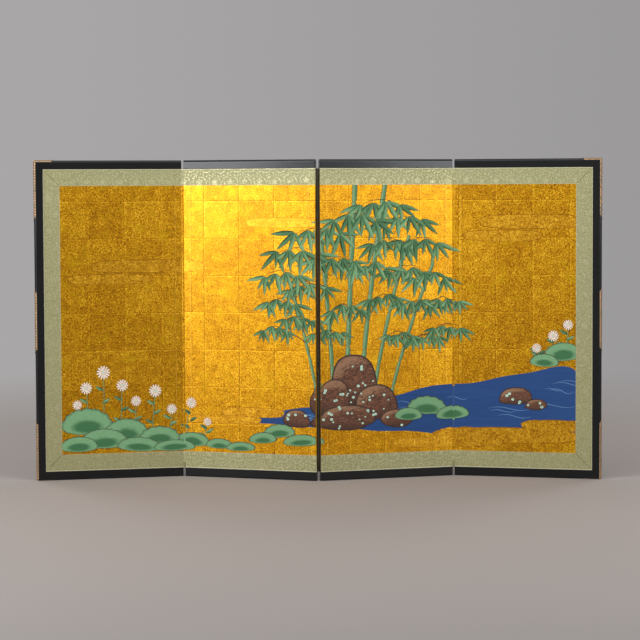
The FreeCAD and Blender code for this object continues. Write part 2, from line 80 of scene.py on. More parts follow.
def depth_of(place):
    """How far a place lies behind the front of panel 2's rails."""
    return round(place.y - rail_low.y, 2)


# The screen's sizes in millimetres, as its frame gives them. Depths count from the rails' front.
core_width = round(picture_high.x - picture_low.x, 2)
screen_height = round(rail_high.z, 2)
rail_height = round(rail_high.z - rail_low.z, 2)
border = round(picture_low.z, 2) - rail_height
wing_width = round(picture_high.x - wing_low.x, 2)
picture_depth = depth_of(picture_low)
half_gap = round((turned(inner_turn) @ fold_back).x - picture_high.x, 2)
front_axis = depth_of(turned(inner_turn) @ fold_left)
back_axis = depth_of(turned(inner_turn) @ fold_back)

# The hinges' paper is let into the linings. The strips over the folds lie just over the faces.
hinge_paper = 0.3
over_brocade = 0.15
over_back_paper = 0.1
hinge_front = depth_of(reach("panel_2_front_lining")[0]) + hinge_paper / 2
hinge_back = depth_of(reach("panel_2_back_lining")[1]) - hinge_paper / 2
strip_front = depth_of(reach("panel_2_brocade")[0]) - over_brocade
strip_back = depth_of(reach("panel_2_back_paper")[1]) + over_back_paper

# The squares of gold leaf: their pitch, and the height of the lowest joint
leaf_pitch = 107
first_row = 48

# The painted relief: its thickness, the small steps by which forms laid one after another rise,
# the rise from one row to the next, and how far the paint lies over its ink line
paint_thickness = 0.1
rise_step = 0.004
rise_steps = 28
row_rise = 0.13
paint_over_ink = 0.06


class Panel:
    """One panel of the screen: where the left edge of its core is, and how it is turned."""

    def __init__(self, number, degrees, hinge, x, depth):
        self.number = number
        self.body = f"panel_{number}"
        self.degrees = degrees
        self.base = hinge - turned(degrees) @ Vector((x, depth, 0))
        self.place = Matrix.Scale(MM, 4) @ Matrix.Translation(self.base) @ turned(degrees)


panels = [
    Panel(1, outer_turn, fold_left, core_width + half_gap, front_axis),
    Panel(2, -inner_turn, fold_back, core_width + half_gap, back_axis),
    Panel(3, inner_turn, fold_back, -half_gap, back_axis),
    Panel(4, -outer_turn, fold_right, -half_gap, front_axis),
]


# Finishes

class Wire:
    """A socket that can be added, multiplied and compared like a number."""

    def __init__(self, finish, socket):
        self.finish = finish
        self.socket = socket

    def maths(self, operation, *values):
        return self.finish.node("ShaderNodeMath", {"operation": operation}, dict(enumerate(values)))

    def __add__(self, other):
        return self.maths("ADD", self, other)

    def __radd__(self, other):
        return self.maths("ADD", other, self)

    def __sub__(self, other):
        return self.maths("SUBTRACT", self, other)

    def __rsub__(self, other):
        return self.maths("SUBTRACT", other, self)

    def __mul__(self, other):
        return self.maths("MULTIPLY", self, other)

    def __rmul__(self, other):
        return self.maths("MULTIPLY", other, self)

    def __truediv__(self, other):
        return self.maths("DIVIDE", self, other)

    def __pow__(self, other):
        return self.maths("POWER", self, other)

    def __abs__(self):
        return self.maths("ABSOLUTE", self)

    def __lt__(self, other):
        return self.maths("LESS_THAN", self, other)

    def __gt__(self, other):
        return self.maths("GREATER_THAN", self, other)

    def floor(self):
        return self.maths("FLOOR", self)

    def fract(self):
        return self.maths("FRACT", self)

    def sin(self):
        return self.maths("SINE", self)

    def over(self, low, high):
        """0 below low, 1 above high, and smooth between them."""
        return self.finish.node("ShaderNodeMapRange", {"interpolation_type": "SMOOTHSTEP"},
                                {"Value": self, "From Min": low, "From Max": high})

    def held(self):
        return self.finish.node("ShaderNodeClamp", {}, {"Value": self})


class Finish:
    """One material, with its shader ready and its nodes written as arithmetic."""

    def __init__(self, name, **values):
        self.material = bpy.data.materials.new(name)
        self.material.use_nodes = True
        self.tree = self.material.node_tree
        self.shader = self.tree.nodes["Principled BSDF"]
        self.set(**values)

    def node(self, kind, settings=None, sockets=None, out=0):
        made = self.tree.nodes.new(kind)
        for key, value in (settings or {}).items():
            if key == "stops":
                ramp = made.color_ramp
                while len(ramp.elements) < len(value):
                    ramp.elements.new(1)
                for element, (at, colour) in zip(ramp.elements, value):
                    element.position = at
                    element.color = (*colour, 1)
            else:
                setattr(made, key, value)
        for key, value in (sockets or {}).items():
            self.join(made.inputs[key], value)
        return Wire(self, made.outputs[out])

    def join(self, socket, value):
        if isinstance(value, Wire):
            self.tree.links.new(value.socket, socket)
        elif isinstance(value, tuple) and len(value) == 3 and len(socket.default_value) == 4:
            socket.default_value = (*value, 1)
        else:
            socket.default_value = value

    def set(self, **values):
        for key, value in values.items():
            self.join(self.shader.inputs[key.replace("_", " ")], value)

    def mix(self, factor, first, second):
        """Two colours mixed. The node's colour sockets are 6 and 7 in, and 2 out."""
        return self.node("ShaderNodeMix", {"data_type": "RGBA"}, {0: factor, 6: first, 7: second}, 2)

    def noise(self, spot, scale, detail=2.0, roughness=0.5, distortion=0.0):
        return self.node("ShaderNodeTexNoise", {}, {"Vector": spot, "Scale": scale, "Detail": detail,
                         "Roughness": roughness, "Distortion": distortion})

    def spot(self, x, y, z):
        return self.node("ShaderNodeCombineXYZ", {}, {0: x, 1: y, 2: z})

    def here(self):
        return self.node("ShaderNodeTexCoord", {}, {}, "Object")

    def parts(self, vector):
        made = self.node("ShaderNodeSeparateXYZ", {}, {0: vector})
        outputs = made.socket.node.outputs
        return [Wire(self, outputs[i]) for i in range(3)]

    def on_panel(self, panel):
        """Width, depth and height on a panel in millimetres, from the core's left edge, the front of
        the rails and the floor."""
        place = self.node("ShaderNodeMapping", {"vector_type": "TEXTURE"},
                          {"Vector": self.here(), "Location": panel.base * MM,
                           "Rotation": (0, 0, math.radians(panel.degrees)), "Scale": (MM, MM, MM)})
        return self.parts(place)

    def bump(self, height, strength, distance):
        self.set(Normal=self.node("ShaderNodeBump", {}, {"Height": height, "Strength": strength,
                                                         "Distance": distance}))


def give(finish, *names):
    for name in names:
        node = nodes[name]
        node.data.materials.clear()
        node.data.materials.append(finish.material)


def leaf_colours(finish, panel, x, z, first_line):
    """Gold leaf laid in squares: colour, height and roughness."""
    sheet = x + core_width * panel.number
    spot = finish.spot(sheet * MM, panel.number * 0.3, z * MM)
    wobble = (finish.noise(spot, 20, 3.0) - 0.5) * 4
    across = (x - first_line + wobble) / leaf_pitch
    up = (z - first_row + wobble) / leaf_pitch
    square = finish.node("ShaderNodeTexWhiteNoise", {"noise_dimensions": "3D"},
                         {"Vector": finish.spot(across.floor(), panel.number, up.floor())})
    line_x = abs(across.fract() - 0.5).over(0.486, 0.499)
    line_z = abs(up.fract() - 0.5).over(0.486, 0.499)
    line = line_x.maths("MAXIMUM", line_x, line_z)
    lap_x = (across.fract() < 0.045) * (across.fract() > 0.006)
    lap_z = up.fract() > 0.955
    lap = lap_x.maths("MAXIMUM", lap_x, lap_z)
    crinkle = finish.noise(spot, 270, 4.0, 0.58, 0.9)
    fleck = finish.noise(spot, 560, 2.0, 0.5)
    cloudy = finish.noise(spot, 40, 3.0, 0.6, 0.5)
    tone = ((crinkle - 0.5) * 2.4 + (fleck - 0.5) * 0.9 + (cloudy - 0.5) * 0.7
            + (square - 0.5) * 0.16 + lap * 0.12 - line * 0.34 + 0.5).held()
    colour = finish.node("ShaderNodeValToRGB", {"stops": [
        (0.0, (0.25, 0.085, 0.001)), (0.35, (0.46, 0.200, 0.002)),
        (0.65, (0.69, 0.335, 0.005)), (1.0, (0.98, 0.60, 0.035))]}, {0: tone})
    thick = finish.noise(finish.spot(sheet * MM, panel.number * 0.3 + 4, z * MM), 24, 3.0, 0.6, 0.6)
    colour = finish.mix(((thick - 0.54) * 5).held() * 0.5, colour, (0.66, 0.42, 0.004))
    height = crinkle * 0.8 + cloudy * 0.5 + lap * 0.5 - line * 0.4
    return colour, height, 0.40 + (crinkle - 0.5) * 0.75


def scroll(finish, x, z, pitch):
    """A woven arabesque: round flower heads in rows, joined by curling stems. 1 on the pattern."""
    v = z / pitch
    u = x / pitch + v.floor() * 0.5
    a = (u.fract() - 0.5) * 2
    b = (v.fract() - 0.5) * 2
    radius = (a * a + b * b) ** 0.5
    angle = a.maths("ARCTAN2", b, a)
    petals = 0.40 + (angle * 5).sin() * 0.07
    head = (petals - radius).over(0.0, 0.06)
    ring = (0.05 - abs(radius - petals * 0.55)).over(0.0, 0.03)
    turn = abs((angle * 1.5 + radius * 7.0).sin())
    arms = (0.34 - turn).over(0.0, 0.16) * radius.over(0.50, 0.58) * (1.02 - radius).over(0.0, 0.1)
    k = math.tau
    sprig = abs((u * k * 2.5 + (v * k * 2).sin()).sin() * (v * k * 2.5 - (u * k * 2).sin()).sin())
    sprigs = (sprig - 0.70).over(0.0, 0.12) * radius.over(0.62, 0.70)
    return (head * (1 - ring) + arms + sprigs).held()


def silk_weave(finish, panel, x, z):
    """Pale green silk damask, with its mitres and a painted highlight along its turned edge: colour,
    height and how much of the pattern's smooth thread shows."""
    sheet = x + core_width * panel.number
    spot = finish.spot(sheet * MM, 0.0, z * MM)
    wander = (finish.noise(spot, 16, 2.0) - 0.5) * 26
    stray = (finish.noise(spot, 21, 2.0, 0.5, 0.3) - 0.5) * 24
    pattern = scroll(finish, sheet + wander, z + stray, pitch=46)
    worn = finish.noise(spot, 75, 4.0, 0.65)
    cloudy = finish.noise(spot, 9, 2.0)
    thread = ((sheet * 6.2).sin() * 0.5 + 0.5) * ((z * 6.2).sin() * 0.5 + 0.5)
    shown = (pattern * (worn - 0.20) * 2.8).held()
    ground = finish.mix(cloudy, (0.272, 0.268, 0.118), (0.328, 0.318, 0.156))
    colour = finish.mix(shown * 0.62, ground, (0.62, 0.59, 0.37))
    colour = finish.mix(((0.47 - worn) * 4.0).held() * 0.55, colour, (0.15, 0.15, 0.06))
    low = z - rail_height
    high = screen_height - rail_height - z
    edge = low.maths("MINIMUM", low, high)
    if panel.number in (1, 4):
        side = x if panel.number == 1 else core_width - x
        mitre = ((1.7 - abs(side - edge)).over(0.0, 1.0) * side.over(10, 14)
                 * (border - side).over(0.0, 1.0))
        colour = finish.mix(mitre * 0.80, colour, (0.10, 0.10, 0.045))
        edge = edge.maths("MINIMUM", edge, side)
    # Painted highlight: the silk within 3 mm of the rails and of the outer side is made paler, for
    # light caught along its edge.
    colour = finish.mix((3.0 - edge).over(0.0, 0.8) * 0.60, colour, (0.72, 0.69, 0.47))
    colour = finish.mix((1.1 - abs(edge - 4.6)).over(0.0, 0.8) * 0.35, colour, (0.17, 0.18, 0.07))
    colour = finish.mix((edge - (border - 1.8)).over(0.0, 0.6) * 0.5, colour, (0.50, 0.46, 0.28))
    return colour, pattern * 0.5 + thread * 0.35 + worn * 0.5, shown


def gold_leaf(panel, first_line, wings):
    """The picture's ground. The ends of the hinge papers under it show as faint steps."""
    finish = Finish(f"gold_leaf_{panel.number}", Metallic=0.88, Coat_Weight=0.09,
                    Coat_Roughness=0.30)
    x, _, z = finish.on_panel(panel)
    colour, height, rough = leaf_colours(finish, panel, x, z, first_line)
    for wing in wings:
        step = (x - wing) if wing < core_width / 2 else (wing - x)
        colour = finish.mix((1.3 - abs(step)).over(0.0, 1.0) * 0.42, colour, (0.36, 0.14, 0.004))
        colour = finish.mix((1.3 - abs(step + 3.2)).over(0.0, 1.0) * 0.30, colour, (0.95, 0.62, 0.08))
        height = height + (0 - step).over(-0.6, 0.6) * 0.5
    finish.set(Base_Color=colour, Roughness=rough)
    finish.bump(height, 0.42, 0.0008)
    return finish


def silk(panel):
    finish = Finish(f"silk_damask_{panel.number}", Specular_IOR_Level=0.6)
    x, _, z = finish.on_panel(panel)
    colour, height, shown = silk_weave(finish, panel, x, z)
    finish.set(Base_Color=colour, Roughness=0.50 - shown * 0.12, Metallic=shown * 0.62 + 0.26)
    finish.bump(height, 0.5, 0.0005)
    return finish


def fold_paper(panel, name, crossings=()):
    """The face paper where it is led over a fold: gold between the two brocade borders, and the
    painted forms that cross there, each from one height to another. More than 2.4 mm behind the
    rails' front it is painted near black, as painted shade deep in the fold."""
    finish = Finish(name, Specular_IOR_Level=0.5)
    x, depth, z = finish.on_panel(panel)
    gold, gold_height, gold_rough = leaf_colours(finish, panel, x + depth, z, first_line=20)
    green, green_height, _ = silk_weave(finish, panel, x + depth, z)
    picture_half = screen_height / 2 - rail_height - border
    silky = abs(z - screen_height / 2).over(picture_half - 0.2, picture_half + 0.2)
    # Painted shade: deeper than 2.4 mm behind the rails' front the paper turns near black, for the
    # shade inside the fold.
    painted_fold_shade = depth.over(2.4, 4.0)
    colour = finish.mix(painted_fold_shade * 0.93, finish.mix(silky, gold, green), (0.030, 0.016, 0.010))
    bare = (1 - silky) * (1 - painted_fold_shade)
    for low, high, paint in crossings:
        covered = z.over(low - 0.4, low + 0.4) * (high - z).over(-0.4, 0.4)
        colour = finish.mix(covered, colour, paint)
        bare = bare * (1 - covered)
    finish.set(Base_Color=colour, Metallic=bare * 0.8, Roughness=0.55 - (0.55 - gold_rough) * bare)
    finish.bump(gold_height * (1 - silky) + green_height * silky, 0.35, 0.0005)
    return finish


def back_print(panel):
    """Brown-green paper, block-printed all over with flower roundels and scrolls."""
    finish = Finish(f"printed_paper_{panel.number}", Specular_IOR_Level=0.35)
    x, depth, z = finish.on_panel(panel)
    sheet = x + depth + core_width * panel.number
    spot = finish.spot(sheet * MM, 0.0, z * MM)
    fibre = finish.noise(finish.spot(sheet * 0.0011, 0.0, z * 0.0042), 55, 5.0, 0.7)
    blot = finish.noise(spot, 70, 4.0, 0.7)
    age = finish.noise(spot, 5, 3.0, 0.6)
    mark = scroll(finish, sheet, z, pitch=74)
    ink = mark * (0.65 + (blot - 0.5) * 1.6).held()
    paper = finish.mix(fibre * 0.6 + age * 0.4, (0.150, 0.135, 0.080), (0.245, 0.215, 0.135))
    joint = (1.0 - abs(z - screen_height / 2)).over(0.0, 0.8)
    colour = finish.mix(ink * 0.82, paper, (0.055, 0.060, 0.040))
    colour = finish.mix(joint * 0.5, colour, (0.05, 0.045, 0.03))
    finish.set(Base_Color=colour, Roughness=0.70 - ink * 0.18)
    finish.bump(fibre * 0.4 + mark * 0.25 + joint * 0.4, 0.4, 0.0004)
    return finish


def lacquer():
    finish = Finish("black_lacquer", Coat_Weight=0.22, Coat_Roughness=0.14, Specular_IOR_Level=0.3,
                    Specular_Tint=(0.90, 0.95, 1.0, 1))
    here = finish.here()
    haze = finish.noise(here, 9, 4.0, 0.6)
    dust = finish.noise(here, 900, 2.0, 0.5)
    x, y, z = finish.parts(here)
    wipe = finish.noise(finish.spot(x * 3, y * 3, z * 60), 12, 3.0, 0.6)
    finish.set(Base_Color=finish.mix(haze, (0.0018, 0.0017, 0.0017), (0.0040, 0.0038, 0.0040)),
               Roughness=0.27 + haze * 0.09 + (wipe - 0.5) * 0.08 + (dust - 0.5) * 0.06)
    finish.bump(haze * 0.6 + dust * 0.04, 0.12, 0.0008)
    return finish


def engraved(panel):
    """Copper-tan fittings chased with a scroll over a ground of small punched rings."""
    finish = Finish(f"engraved_copper_{panel.number}", Metallic=0.9)
    x, depth, z = finish.on_panel(panel)
    across = x + depth
    ring_pitch = 1.9
    cells = finish.spot(x / ring_pitch, depth / ring_pitch, z / ring_pitch)
    grains = finish.node("ShaderNodeTexVoronoi", {"feature": "F1"}, {"Vector": cells, "Scale": 1.0,
                         "Randomness": 0.25})
    punched = (0.40 - grains).over(0.0, 0.14)
    k = math.tau / 16
    along = (z * k + (across * k * 1.4).sin() * 1.8).sin()
    athwart = (across * k * 1.7 + (z * k).sin() * 1.5).sin()
    vine = abs(along * athwart)
    line = (0.20 - vine).over(0.0, 0.10)
    spot = finish.spot(x * MM, depth * MM, z * MM)
    age = finish.noise(spot, 34, 5.0, 0.65)
    rub_and_highlight = finish.noise(spot, 260, 3.0, 0.6)
    colour = finish.mix(age.over(0.35, 0.68), (0.52, 0.315, 0.175), (0.34, 0.265, 0.175))
    cut_in = (line * 0.65 + punched * 0.25 * (1 - line)).held()
    colour = finish.mix(cut_in, colour, (0.11, 0.065, 0.035))
    # Pale rubbed spots, which are also a painted highlight: their pale colour stands in for glints on
    # the copper.
    colour = finish.mix(((rub_and_highlight - 0.55) * 3).held() * (1 - line), colour, (0.76, 0.54, 0.35))
    finish.set(Base_Color=colour, Roughness=0.40 + age * 0.16)
    finish.bump(0 - line - punched * 0.4 + rub_and_highlight * 0.1, 0.8, 0.0005)
    return finish


def nail_metal():
    finish = Finish("dark_nail_metal", Metallic=0.9)
    here = finish.here()
    age = finish.noise(here, 420, 4.0, 0.6)
    finish.set(Base_Color=finish.mix(age, (0.05, 0.04, 0.035), (0.20, 0.14, 0.10)),
               Roughness=0.34 + age * 0.2)
    finish.bump(age, 0.3, 0.0003)
    return finish


def cedar():
    finish = Finish("cedar_core")
    here = finish.here()
    x, y, z = finish.parts(here)
    grain = finish.noise(finish.spot(x * 30, y * 30, z * 2), 6, 5.0, 0.6, 0.8)
    rings = ((grain * 34).sin() * 0.5 + 0.5)
    finish.set(Base_Color=finish.mix(rings, (0.50, 0.31, 0.16), (0.66, 0.47, 0.28)), Roughness=0.66)
    finish.bump(rings * 0.5 + grain * 0.3, 0.3, 0.0005)
    return finish


def lining():
    finish = Finish("lining_paper")
    here = finish.here()
    x, y, z = finish.parts(here)
    fibre = finish.noise(finish.spot(x * 2, y * 2, z * 5), 60, 6.0, 0.7, 0.5)
    finish.set(Base_Color=finish.mix(fibre, (0.60, 0.55, 0.44), (0.76, 0.72, 0.61)), Roughness=0.85)
    finish.bump(fibre, 0.35, 0.0005)
    return finish


black = lacquer()
wood = cedar()
plain_paper = lining()
nail_finish = nail_metal()
printed = {}

# For each panel: its first upright leaf joint, and where the hinge papers under the picture end
left_end = wing_width
right_end = core_width - wing_width
for panel, first_line, wings in zip(panels, (18, 62, 85, 13), (
        [right_end], [left_end, right_end], [left_end, right_end], [left_end])):
    n = panel.number
    gold = gold_leaf(panel, first_line, wings)
    damask = silk(panel)
    printed[n] = back_print(panel)
    give(gold, f"panel_{n}_picture")
    give(damask, f"panel_{n}_brocade")
    give(printed[n], f"panel_{n}_back_paper")
    give(black, f"panel_{n}_top_rail", f"panel_{n}_bottom_rail")
    give(wood, f"panel_{n}_core_frame", f"panel_{n}_core_lattice")
    give(plain_paper, f"panel_{n}_front_lining", f"panel_{n}_back_lining")
    give(nail_finish, f"panel_{n}_rail_nails")
give(black, "left_outer_stile", "right_outer_stile")
for side, panel in (("left", panels[0]), ("right", panels[3])):
    finish = engraved(panel)
    give(finish, f"corner_fitting_top_{side}", f"corner_fitting_bottom_{side}",
         f"middle_fitting_{side}")
    give(nail_finish, f"{side}_fitting_nails")


# Making and placing pieces

def finished(name, bm, matrix, finish, body):
    """A mesh becomes a named piece, placed by the matrix. It rides on the body, if there is one."""
    bmesh.ops.transform(bm, matrix=matrix, verts=bm.verts)
    bmesh.ops.recalc_face_normals(bm, faces=bm.faces)
    mesh = bpy.data.meshes.new(name)
    bm.to_mesh(mesh)
    bm.free()
    for face in mesh.polygons:
        face.use_smooth = False
    piece = bpy.data.objects.new(name, mesh)
    bpy.context.scene.collection.objects.link(piece)
    mesh.materials.append(finish.material)
    if body:
        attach(piece, body)
    return piece


def edge_paper(name, panel, right, finish):
    """The hinge paper of one edge: pasted on both faces of the core, and folded over its edge."""
    bm = bmesh.new()
    off_edge = hinge_paper / 2
    off_rail = 0.1
    lengths = 6
    edge = core_width + off_edge if right else -off_edge
    wing = core_width - wing_width if right else wing_width
    turn = [bm.verts.new((x, depth, rail_height + off_rail)) for x, depth in (
        (wing, hinge_front), (edge, hinge_front), (edge, hinge_back), (wing, hinge_back))]
    for pair in zip(turn, turn[1:]):
        bm.edges.new(pair)
    bmesh.ops.bevel(bm, geom=turn[1:3], offset=0.5, segments=3, profile=0.5, affect="VERTICES",
                    material=-1)
    step = (screen_height - 2 * rail_height - 2 * off_rail) / lengths
    rim = [e for e in bm.edges if e.is_wire]
    for _ in range(lengths):
        made = bmesh.ops.extrude_edge_only(bm, edges=rim)["geom"]
        rim = [e for e in made if isinstance(e, bmesh.types.BMEdge)
               and all(v in made for v in e.verts)]
        bmesh.ops.translate(bm, vec=(0, 0, step),
                            verts=[v for v in made if isinstance(v, bmesh.types.BMVert)])
    bm.normal_update()
    bmesh.ops.solidify(bm, geom=bm.faces, thickness=hinge_paper)
    piece = finished(name, bm, panel.place, finish, panel.body)
    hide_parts(name.replace("edge", "hinge"))


def fold_strip(name, left, right, axis, front, finish):
    """The paper led over a fold from one panel's face to the next, a little bulged. Its front has
    the given finish, and its back the printed paper."""
    bm = bmesh.new()
    bmesh.ops.create_grid(bm, x_segments=14, y_segments=36, size=0.5)
    overlap = 0.7
    bulge = 0.7 if front else -0.7
    off_rail = 0.3
    depth = strip_front if front else strip_back
    a = left.place @ Vector((core_width - overlap, depth, 0))
    b = right.place @ Vector((overlap, depth, 0))
    crest = Vector((axis.x, axis.y + bulge, 0)) * MM
    pull = crest * 2 - (a + b) / 2
    low = rail_height + off_rail
    high = screen_height - rail_height - off_rail
    for v in bm.verts:
        t, h = v.co.x + 0.5, v.co.y + 0.5
        at = a * (1 - t) ** 2 + pull * 2 * t * (1 - t) + b * t * t
        v.co = Vector((at.x, at.y, (low + (high - low) * h) * MM))
    bm.normal_update()
    bmesh.ops.solidify(bm, geom=bm.faces, thickness=0.25 * MM)
    piece = finished(name, bm, Matrix.Identity(4), finish, None)
    piece.data.materials.append(printed[left.number].material)
    for face in piece.data.polygons:
        face.use_smooth = abs(face.normal.y) > 0.3
        face.material_index = int(face.normal.y > 0.3)
    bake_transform(piece)


# What the painting has on the strips over the folds: from which height to which, in what colour
mound_rim = (0.16, 0.33, 0.165)
mound_heart = (0.042, 0.14, 0.057)
stream_blue = (0.014, 0.056, 0.19)
bamboo_green = (0.10, 0.21, 0.105)
left_crossings = [(78, 125, mound_rim), (82, 93, mound_heart)]
right_crossings = [(138, 260, stream_blue), (161, 199, mound_rim), (168, 188, mound_heart)]
for low, high in ((407, 426), (483, 503), (534, 541), (560, 567), (649, 657)):
    right_crossings.append((low, high, bamboo_green))

fold_strip("fold_strip_left", panels[0], panels[1], fold_left, True,
           fold_paper(panels[0], "fold_paper_left", left_crossings))
fold_strip("fold_strip_right", panels[2], panels[3], fold_right, True,
           fold_paper(panels[2], "fold_paper_right", right_crossings))
fold_strip("fold_strip_centre", panels[1], panels[2], fold_back, False, printed[2])
edge_paper("panel_1_right_edge_paper", panels[0], True, printed[1])
edge_paper("panel_2_left_edge_paper", panels[1], False, printed[2])
# The edges at the centre fold take fold paper, which is painted near black deep in the fold as painted
# shade.
edge_paper("panel_2_right_edge_paper", panels[1], True, fold_paper(panels[1], "edge_paper_2"))
edge_paper("panel_3_left_edge_paper", panels[2], False, fold_paper(panels[2], "edge_paper_3"))
edge_paper("panel_3_right_edge_paper", panels[2], True, printed[3])
edge_paper("panel_4_left_edge_paper", panels[3], False, printed[4])


# The painting: mineral colours in thin relief, laid in sheet millimetres from panel 1's left edge

def thicken(bm, faces, thickness):
    """Pulls copies of the faces forward and closes the sides between."""
    made = bmesh.ops.extrude_face_region(bm, geom=faces, use_keep_orig=True)
    raised = [v for v in made["geom"] if isinstance(v, bmesh.types.BMVert)]
    bmesh.ops.translate(bm, vec=(0, -thickness, 0), verts=raised)


class Stamp:
    """A small painted form, made once and laid many times."""

    def __init__(self, name, segments, bend):
        bm = bmesh.new()
        bmesh.ops.create_circle(bm, cap_ends=True, segments=segments, radius=1)
        form = bm.loops.layers.uv.new("form")
        bm.loops.layers.uv.new("tone")
        for face in bm.faces:
            for loop in face.loops:
                loop[form].uv = loop.vert.co.xy
        for v in bm.verts:
            x, z = bend(v.co.x, v.co.y)
            v.co = (x, 0, z)
        thicken(bm, bm.faces[:], 1)
        bmesh.ops.recalc_face_normals(bm, faces=bm.faces)
        self.mesh = bpy.data.meshes.new(name)
        bm.to_mesh(self.mesh)
        bm.free()


def cut(bm, point, normal):
    """Takes away what lies beyond a plane, and closes the cut."""
    made = bmesh.ops.bisect_plane(bm, geom=bm.verts[:] + bm.edges[:] + bm.faces[:], dist=1e-4,
                                  plane_co=point, plane_no=normal, clear_outer=True)
    edges = [e for e in made["geom_cut"] if isinstance(e, bmesh.types.BMEdge) and e.is_valid]
    bmesh.ops.holes_fill(bm, edges=edges, sides=0)


class Paint:
    """One colour of paint. Everything laid in it becomes one piece on each panel it touches."""

    def __init__(self, name, finish):
        self.name = name
        self.finish = finish
        self.bm = bmesh.new()
        self.form = self.bm.loops.layers.uv.new("form")
        self.tone = self.bm.loops.layers.uv.new("tone")
        self.count = 0

    def add(self, mesh):
        """Adds a mesh, and gives the vertices and faces that came with it."""
        first_vert = len(self.bm.verts)
        first_face = len(self.bm.faces)
        self.bm.from_mesh(mesh)
        self.bm.verts.ensure_lookup_table()
        self.bm.faces.ensure_lookup_table()
        return self.bm.verts[first_vert:], self.bm.faces[first_face:]

    def rise(self):
        """How far a form rises over its level, so that those laid one after another lie apart."""
        return (self.count % rise_steps) * rise_step

    def lay(self, stamp, x, z, width, height, angle, level, tone=0.5, rise=None):
        """A stamp laid at a level over the leaf. Its tone is kept for the finish."""
        verts, faces = self.add(stamp.mesh)
        self.count += 1
        level = level + (self.rise() if rise is None else rise)
        place = (Matrix.Translation((x, picture_depth - level, z))
                 @ Matrix.Rotation(math.radians(-angle), 4, "Y")
                 @ Matrix.Diagonal((width / 2, paint_thickness, height / 2, 1)))
        bmesh.ops.transform(self.bm, matrix=place, verts=verts)
        for face in faces:
            for loop in face.loops:
                loop[self.tone].uv = (tone, 0)

    def outline(self, points, level):
        """A flat shape with a smooth outline through the given points."""
        curve = bpy.data.curves.new("outline", "CURVE")
        curve.dimensions = "2D"
        curve.fill_mode = "BOTH"
        curve.resolution_u = 10
        spline = curve.splines.new("NURBS")
        spline.points.add(len(points) - 1)
        for point, (x, z) in zip(spline.points, points):
            point.co = (x, z, 0, 1)
        spline.use_cyclic_u = True
        spline.order_u = 4
        drawn = bpy.data.objects.new("outline", curve)
        mesh = bpy.data.meshes.new_from_object(drawn)
        bpy.data.objects.remove(drawn)
        verts, faces = self.add(mesh)
        flat = Matrix(((1, 0, 0, 0), (0, 0, 0, picture_depth - level), (0, 1, 0, 0), (0, 0, 0, 1)))
        bmesh.ops.transform(self.bm, matrix=flat, verts=verts)
        thicken(self.bm, faces, paint_thickness)

    def ribbon(self, line, width, level, steps=24):
        """A brush line: line(t) gives its middle, width(t) its breadth, for t from 0 to 1."""
        bm = bmesh.new()
        bmesh.ops.create_grid(bm, x_segments=steps, y_segments=1, size=0.5)
        form = bm.loops.layers.uv.new("form")
        shade = bm.loops.layers.uv.new("tone")
        for face in bm.faces:
            for loop in face.loops:
                loop[form].uv = (loop.vert.co.x * 2, loop.vert.co.y * 2)
                loop[shade].uv = (0.5, 0)
        self.count += 1
        level = level + self.rise()
        for v in bm.verts:
            t = v.co.x + 0.5
            side = v.co.y * 2
            x, z = line(t)
            ahead = line(min(t + 0.01, 1))
            behind = line(max(t - 0.01, 0))
            along = Vector((ahead[0] - behind[0], ahead[1] - behind[1])).normalized()
            breadth = width(t) / 2 * side
            v.co = (x - along.y * breadth, picture_depth - level, z + along.x * breadth)
        thicken(bm, bm.faces[:], paint_thickness)
        mesh = bpy.data.meshes.new("ribbon")
        bm.to_mesh(mesh)
        bm.free()
        self.bm.from_mesh(mesh)
        bpy.data.meshes.remove(mesh)

    def finish_pieces(self):
        """One piece for each panel, cut off at its edges and at the border."""
        reach = [v.co.x for v in self.bm.verts]
        for panel in panels:
            left = core_width * (panel.number - 1)
            low_x = left + (border if panel.number == 1 else 0)
            high_x = left + core_width - (border if panel.number == 4 else 0)
            if max(reach) <= low_x or min(reach) >= high_x:
                continue
            bm = self.bm.copy()
            cut(bm, (low_x, 0, 0), (-1, 0, 0))
            cut(bm, (high_x, 0, 0), (1, 0, 0))
            cut(bm, (0, 0, rail_height + border), (0, 0, -1))
            cut(bm, (0, 0, screen_height - rail_height - border), (0, 0, 1))
            if bm.faces:
                bmesh.ops.translate(bm, vec=(-left, 0, 0), verts=bm.verts)
                finished(f"{self.name}_{panel.number}", bm, panel.place, self.finish,
                         panel.body)
            else:
                bm.free()
        self.bm.free()


def painted(name, build):
    """Mineral paint: matt and a little grainy. build gives its colour from u and v, which run from
    -1 to 1 over each stamp and brush line, from the form's tone, and from how the paint pooled."""
    finish = Finish(name, Specular_IOR_Level=0.25)
    form = finish.parts(finish.node("ShaderNodeUVMap", {"uv_map": "form"}))
    tone = finish.parts(finish.node("ShaderNodeUVMap", {"uv_map": "tone"}))[0]
    here = finish.here()
    grain = finish.noise(here, 520, 3.0, 0.6)
    pool = finish.noise(here, 60, 3.0, 0.6)
    colour = build(finish, form[0], form[1], tone, pool, here)
    finish.set(Base_Color=colour, Roughness=0.62 + grain * 0.2)
    finish.bump(grain * 0.6 + pool * 0.4, 0.35, 0.0003)
    return finish


def leaf_paint(finish, u, v, tone, pool, here):
    deep = finish.mix(tone, (0.010, 0.048, 0.018), (0.045, 0.150, 0.060))
    light = finish.mix(tone, (0.060, 0.180, 0.072), (0.250, 0.450, 0.230))
    side = (v * 0.5 + u * 0.25 + 0.45 + (pool - 0.5) * 0.6).held()
    colour = finish.mix(side, deep, light)
    vein = (0.10 - abs(v)).over(0.0, 0.08)
    rim = (u * u + v * v).over(0.86, 0.99)
    colour = finish.mix(vein * 0.6, colour, (0.26, 0.42, 0.22))
    return finish.mix(rim * 0.5, colour, (0.02, 0.05, 0.02))


